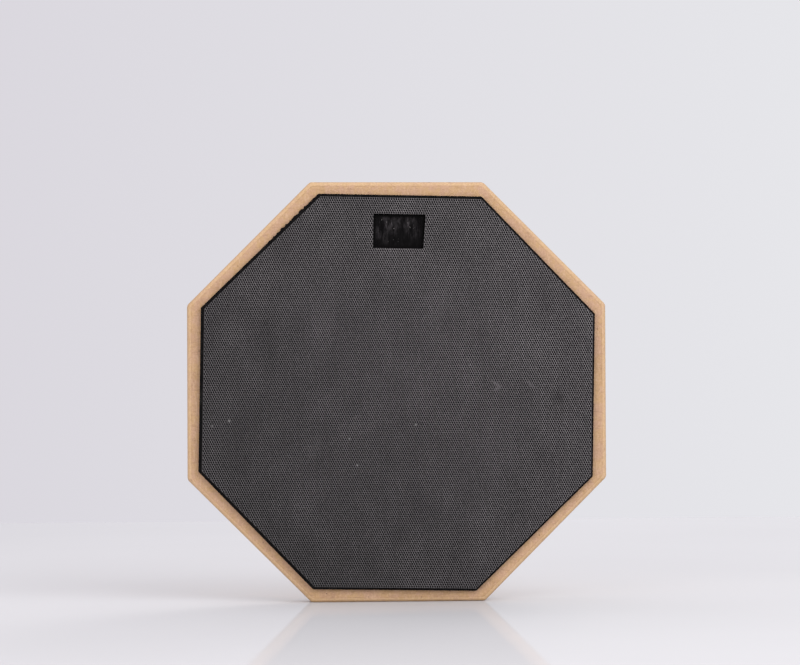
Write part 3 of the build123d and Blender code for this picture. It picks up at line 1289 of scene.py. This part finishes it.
@dataclass(frozen=True)
class FlatSheet:
    """A flat triangle mesh with values at its points, which can be cut along straight lines."""

    places: np.ndarray
    values: dict[str, np.ndarray]
    triangles: np.ndarray

    def kept(self, lines: Sequence[tuple[np.ndarray, float]], slack: float, inside: bool) -> "FlatSheet":
        """Keeps the triangles whose middles lie inside, or outside, all the lines moved out by slack.

        Args:
            lines: unit normals, and distances from the origin along them.
            slack: how far the lines are moved out.
            inside: whether the inside is kept.

        Returns:
            The sheet with those triangles.
        """
        middle = self.places[self.triangles].mean(axis=1)
        past = np.max(np.stack([middle @ normal - offset for normal, offset in lines]), axis=0)
        wanted = past < slack if inside else past > slack
        return FlatSheet(self.places, self.values, self.triangles[wanted])

    def packed(self) -> "FlatSheet":
        """The same sheet without the points that no triangle uses.

        Returns:
            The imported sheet.
        """
        used, back = np.unique(self.triangles, return_inverse=True)
        values = {key: v[used] for key, v in self.values.items()}
        return FlatSheet(self.places[used], values, back.reshape(self.triangles.shape))

    def split(self, normal: np.ndarray, offset: float, snap: float = 0.03 * MM) -> "FlatSheet":
        """Divides every triangle that a line crosses, so that no triangle spans it.

        A point nearer the line than snap moves onto it. On a crossing edge the new point is at the share
        d0 / (d0 - d1) of the way, with d0 and d1 its ends' distances from the line.

        Args:
            normal: unit normal of the line.
            offset: the line's distance from the origin along the normal.
            snap: how near a point has to be to be moved onto the line.

        Returns:
            The divided sheet.
        """
        away = self.places @ normal - offset
        near = np.abs(away) < snap
        places = self.places - np.where(near, away, 0.0)[:, None] * normal
        side = np.where(near, 0, np.sign(away)).astype(int)
        marks = side[self.triangles]
        crossed = (marks.min(axis=1) < 0) & (marks.max(axis=1) > 0)
        whole, cut = self.triangles[~crossed], self.triangles[crossed]
        marks = marks[crossed]
        touching = (marks == 0).any(axis=1)
        lone_sign = np.where(touching, 0, -np.sign(marks.sum(axis=1)))
        first = np.argmax(marks == lone_sign[:, None], axis=1)
        cut = np.take_along_axis(cut, (first[:, None] + np.arange(3)) % 3, axis=1)
        a, b, c = cut.T
        split_b, split_c = np.where(touching, b, a), np.where(touching, c, a)
        first_edges = np.stack([split_b, np.where(touching, c, b)], axis=1)
        edges = np.concatenate([first_edges, np.stack([split_c, c], axis=1)[~touching]])
        unique, index = np.unique(np.sort(edges, axis=1), axis=0, return_inverse=True)
        index = index.ravel() + len(places)
        start, end = unique.T
        share = away[start] / (away[start] - away[end])
        new_places = places[start] + share[:, None] * (places[end] - places[start])
        values = {
            key: np.concatenate([v, v[start] + share * (v[end] - v[start])]) for key, v in self.values.items()
        }
        on_first, on_last = np.split(index, [len(cut)])
        t, s = touching, ~touching
        pieces = [
            whole,
            np.stack([a[t], b[t], on_first[t]], axis=1),
            np.stack([a[t], on_first[t], c[t]], axis=1),
            np.stack([a[s], on_first[s], on_last], axis=1),
            np.stack([on_first[s], b[s], c[s]], axis=1),
            np.stack([on_first[s], c[s], on_last], axis=1),
        ]
        return FlatSheet(np.concatenate([places, new_places]), values, np.concatenate(pieces))

    def clearance(
        self, outer: Sequence[tuple[np.ndarray, float]], hole: Sequence[tuple[np.ndarray, float]]
    ) -> np.ndarray:
        """Distance of each point from the nearest of the outer lines and the hole's lines.

        Args:
            outer: unit normals and distances of the lines round the sheet.
            hole: the same for the lines round its hole.

        Returns:
            (N,) distances.
        """
        within = np.min(np.stack([offset - self.places @ normal for normal, offset in outer]), axis=0)
        outside = np.max(np.stack([self.places @ normal - offset for normal, offset in hole]), axis=0)
        return np.minimum(within, outside)

    def rim(self) -> np.ndarray:
        """Edges with a triangle on one side only.

        Returns:
            (E, 2) point pairs, in that triangle's direction.
        """
        edges = np.concatenate([self.triangles[:, pair] for pair in ([0, 1], [1, 2], [2, 0])])
        _, index, count = np.unique(np.sort(edges, axis=1), axis=0, return_index=True, return_counts=True)
        return edges[index[count == 1]]

    def loop(self, edges: np.ndarray, middle: np.ndarray, outside: bool) -> np.ndarray:
        """The points of the outer rim, or of the window's, in order of bearing round a middle.

        Args:
            edges: rim edges.
            middle: a place inside the loop.
            outside: True for the loop farthest out, False for the one near the middle.

        Returns:
            Indices of the loop's points.
        """
        points = np.unique(edges)
        reach = np.abs(self.places[points]).max()
        near_rim = 0.97
        far = np.linalg.norm(self.places[points], axis=1) > near_rim * reach
        own = points[far] if outside else points[~far]
        away = self.places[own] - middle
        return own[np.argsort(np.arctan2(away[:, 1], away[:, 0]))]


def order_faces(triangles: np.ndarray, places: np.ndarray) -> np.ndarray:
    """Turns flat triangles so that they all run anticlockwise: positive cross product of their sides.

    Args:
        triangles: (T, 3) point indices.
        places: (N, 2) points.

    Returns:
        (T, 3) point indices.
    """
    a, b, c = (places[triangles[:, k]] for k in range(3))
    u, v = b - a, c - a
    wrong = u[:, 0] * v[:, 1] - u[:, 1] * v[:, 0] < 0.0
    return np.where(wrong[:, None], triangles[:, ::-1], triangles)


@dataclass
class RearPad:
    """The smooth side: a soft foam layer under a sheet of gum rubber."""

    corner_radius: float = 1.5 * MM
    rubber_step: float = 1.4 * MM
    foam_step: float = 1.3 * MM
    face_step: float = 3.0 * MM
    rubber_ease: float = 0.8 * MM
    glued_ease: float = 0.1 * MM
    foam_ease: float = 0.35 * MM
    ragged: float = 0.10 * MM
    ragged_wave: float = 2.4 * MM
    undulation: float = 0.16 * MM
    undulation_wave: float = 48.0 * MM
    struck_reach: float = 42.0 * MM
    struck_dip: float = 0.12 * MM
    dip_fade: float = 0.5 * MM
    tick_wave: float = 5.0 * MM
    tick_level: float = 0.7
    mark_base: float = 0.08
    mark_ticks: float = 0.30

    def rings(self, node: str, eases: tuple[float, float], step: float) -> Rings:
        """The rings of one of the pad's layers, close together on its edge and farther apart on its faces.

        Args:
            node: the CAD layer.
            eases: radius of its front and its back edge.
            step: longest distance between samples on a ring.

        Returns:
            The rings.
        """
        low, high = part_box(node)
        half = half_across_flats(node)
        inner = np.arange(-(half - self.face_step), -4.0 * MM, self.face_step)
        inner = np.concatenate([inner, [-3.0 * MM, -2.0 * MM, -1.35 * MM]])
        offsets, depths = slab_profile(half, low.y, high.y, eases, inner, sides=6, turns=5)
        return Rings(PadPlane.of_node(node), Outline.octagon(half, self.corner_radius, step), offsets, depths)

    def foam(self, finish: CutFoam) -> bpy.types.Object:
        """Makes the foam layer, its cut edge uneven by ragged * ripple.

        Args:
            finish: the foam's finish.

        Returns:
            The finished foam.
        """
        node = "rear_cushion"
        rings = self.rings(node, (self.foam_ease,) * 2, self.foam_step)
        edge = np.clip(1.0 + rings.offsets / self.foam_ease, 0.0, 1.0)[:, None]
        along = rings.outline.along()[None, :]
        ragged = Ripple(self.ragged_wave, seed=51).over(along, 1.6 * rings.depths[:, None])
        points = rings.grid(spread=edge * self.ragged * ragged)
        piece = rings.capped(points, {}).to_object("rear_foam_layer")
        finish_piece(piece, finish.material(), [node])
        return piece

    def rubber(self, finish: GumRubber) -> bpy.types.Object:
        """Makes the rubber sheet: its face dips gently, and it is darkened where sticks strike it.

        The dip is undulation * (a ripple from 0 to 1) + struck_dip * struck, and the mark value is struck *
        (mark_base + mark_ticks * a finer ripple's peaks), with struck = exp(-(distance / struck_reach)^2).

        Args:
            finish: the rubber's finish.

        Returns:
            The finished rubber sheet.
        """
        node = "rear_rubber"
        rings = self.rings(node, (self.glued_ease, self.rubber_ease), self.rubber_step)
        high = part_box(node)[1]
        points = rings.grid()
        across, up = points[..., 0], points[..., 2] - rings.plane.centre_z
        face = np.clip((points[..., 1] - (high.y - self.dip_fade)) / self.dip_fade, 0.0, 1.0)
        wave = 0.5 + 0.5 * np.clip(Ripple(self.undulation_wave, seed=52).over(across, up), -1.0, 1.0)
        struck = bell(np.hypot(across, 1.1 * up), self.struck_reach)
        points[..., 1] -= face * (self.undulation * wave + self.struck_dip * struck)
        ticks = Ripple(self.tick_wave, seed=53).over(across, 0.35 * up)
        ticks = np.clip(ticks - self.tick_level, 0.0, 1.0)
        values = {"mark": face * struck * (self.mark_base + self.mark_ticks * ticks)}
        piece = rings.capped(points, values).to_object("rear_rubber_sheet")
        finish_piece(piece, finish.material(), [node])
        return piece


@dataclass
class Bonds:
    """The adhesive films and the tape between the layers, which keep their CAD meshes."""

    on_wood: Adhesive = Adhesive(GluePlace.ON_WOOD, (0.300, 0.190, 0.080), (0.160, 0.090, 0.035))
    on_foam: Adhesive = Adhesive(GluePlace.ON_BLACK_FOAM, (0.0100, 0.0085, 0.0070), (0.0060, 0.0050, 0.0040))
    tape: FoamTape = FoamTape()

    def dress(self) -> None:
        """Gives each of these CAD layers its own finish."""
        amber, dark, tape = self.on_wood.material(), self.on_foam.material(), self.tape.material()
        finishes = {
            "front_pad_glue": dark,
            "front_skin_glue": dark,
            "rear_pad_glue": amber,
            "rear_rubber_glue": amber,
            "nameplate_tape": tape,
        }
        for node, material in finishes.items():
            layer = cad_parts[node]
            layer.data.materials.clear()
            layer.data.materials.append(material)
            LOG.info("%s dressed with %s", node, material.name)


# ---------------------------------------------------------------------------------------------
# Camera, floor and light
# ---------------------------------------------------------------------------------------------


@dataclass(frozen=True)
class Lamp:
    """A square soft lamp: its name, place, width, power in watts and colour."""

    name: str
    place: tuple[float, float, float]
    size: float
    power: float
    tint: Colour

    def hang(self, aim: tuple[float, float, float]) -> None:
        """Hangs the lamp so that it faces a place.

        Args:
            aim: the place.
        """
        data = bpy.data.lights.new(self.name, "AREA")
        data.shape, data.size, data.energy, data.color = "SQUARE", self.size, self.power, self.tint
        light = bpy.data.objects.new(self.name, data)
        light.location = self.place
        light.rotation_euler = (Vector(aim) - Vector(self.place)).to_track_quat("-Z", "Y").to_euler()
        bpy.context.scene.collection.objects.link(light)


@dataclass
class Studio:
    """A pale table with a low sheen in a pale room, soft lamps round it and a long lens in front."""

    eye: tuple[float, float, float] = (-0.1195, -2.0043, 0.1648)
    heading: float = math.radians(3.484)
    rise: float = math.radians(0.874)
    top: tuple[float, float, float] = (0.00359, -0.01550, 0.99987)
    lens: float = 123.75
    sensor: float = 36.0
    floor_sides: float = 3.0
    floor_front: float = 3.2
    floor_back: float = 1.11
    room_left: Colour = (0.705, 0.685, 0.735)
    room_right: Colour = (0.790, 0.790, 0.822)
    room_edges: tuple[float, float] = (-0.085, 0.205)
    table: Colour = (0.648, 0.644, 0.658)
    table_tone: float = 0.97
    tone_size: float = 0.35
    shine: float = 0.41
    shine_index: float = 1.1
    shine_roughness: float = 0.04
    aim: tuple[float, float, float] = (0.0, -0.01, 0.16)
    lamps: tuple[Lamp, ...] = (
        Lamp("key", (1.05, -1.35, 1.25), 1.60, 20.5, (1.0, 0.990, 0.985)),
        Lamp("left_fill", (-1.15, -1.70, 0.55), 1.4, 12.5, (1.0, 0.945, 0.875)),
        Lamp("overhead", (-0.70, 0.10, 1.60), 1.2, 5.0, (1.0, 0.990, 0.985)),
        Lamp("rear_fill", (1.1, 2.2, 1.5), 1.2, 20.0, (1.0, 0.99, 0.98)),
    )

    def camera(self) -> bpy.types.Object:
        """Places the camera: it looks along its heading and rise, with its own top direction.

        Returns:
            The camera.
        """
        data = bpy.data.cameras.new("camera")
        data.lens = self.lens
        data.sensor_width = self.sensor
        data.dof.use_dof = False
        camera = bpy.data.objects.new("camera", data)
        level = math.cos(self.rise)
        ahead = Vector((math.sin(self.heading) * level, math.cos(self.heading) * level, math.sin(self.rise)))
        right = ahead.cross(Vector(self.top)).normalized()
        turn = Matrix((right, right.cross(ahead), -ahead)).transposed().to_4x4()
        camera.matrix_world = Matrix.Translation(Vector(self.eye)) @ turn
        bpy.context.scene.collection.objects.link(camera)
        bpy.context.scene.camera = camera
        return camera

    def floor(self) -> bpy.types.Object:
        """Lays a flat table top under the pad, matt with a sheen at low angles, as stage.

        Returns:
            The table top.
        """
        x, front, back = self.floor_sides, -self.floor_front, self.floor_back
        mesh = bpy.data.meshes.new("table_top")
        mesh.from_pydata([(-x, front, 0), (x, front, 0), (x, back, 0), (-x, back, 0)], [], [(0, 1, 2, 3)])
        floor = bpy.data.objects.new("table_top", mesh)
        bpy.context.scene.collection.objects.link(floor)
        made = NodeTree("table_top")
        tone = made.noise(self.tone_size, detail=3.0)
        toned = tuple(self.table_tone * channel for channel in self.table)
        colour = made.mix(made.remap(tone, 0.3, 0.7), self.table, toned)
        matt = made.add("ShaderNodeBsdfDiffuse", {"Color": colour})
        mirror = {"Color": (1.0, 1.0, 1.0), "Roughness": self.shine_roughness}
        sheen = made.add("ShaderNodeBsdfGlossy", mirror)
        low_angle = made.add("ShaderNodeFresnel", {"IOR": self.shine_index}).outputs[0]
        share = made.math("MULTIPLY", low_angle, self.shine)
        both = made.add("ShaderNodeMixShader", {0: share, 1: matt.outputs[0], 2: sheen.outputs[0]})
        made.feed(made.output.inputs["Surface"], both.outputs[0])
        mesh.materials.append(made.material)
        return floor

    def light(self) -> None:
        """Lights the room, a little brighter towards the right, and hangs the lamps."""
        world = bpy.data.worlds.new("pale_room")
        world.use_nodes = True
        tree = world.node_tree
        direction = tree.nodes.new("ShaderNodeTexCoord").outputs["Generated"]
        split = tree.nodes.new("ShaderNodeSeparateXYZ")
        share = tree.nodes.new("ShaderNodeMapRange")
        mix = tree.nodes.new("ShaderNodeMix")
        mix.data_type = "RGBA"
        share.inputs["From Min"].default_value, share.inputs["From Max"].default_value = self.room_edges
        mix.inputs[6].default_value = (*self.room_left, 1.0)
        mix.inputs[7].default_value = (*self.room_right, 1.0)
        tree.links.new(direction, split.inputs[0])
        tree.links.new(split.outputs["X"], share.inputs["Value"])
        tree.links.new(share.outputs["Result"], mix.inputs[0])
        tree.links.new(mix.outputs[2], tree.nodes["Background"].inputs["Color"])
        bpy.context.scene.world = world
        bpy.context.scene.view_settings.view_transform = "Standard"
        for lamp in self.lamps:
            lamp.hang(self.aim)


def main() -> None:
    """Places the camera, builds the pad from its board outwards, then lays the floor and hangs the lamps."""
    logging.basicConfig(level=logging.INFO, format="%(name)s: %(message)s")
    studio = Studio()
    studio.camera()
    foam = CutFoam()
    Board().build(Fibreboard())
    front = FrontPad()
    front.foam(foam)
    front.playing_skin(DimpledRubber())
    front.nameplate(NameplateBlack())
    rear = RearPad()
    rear.foam(foam)
    rear.rubber(GumRubber())
    Bonds().dress()
    studio.floor()
    studio.light()


if __name__ == "__main__":
    main()
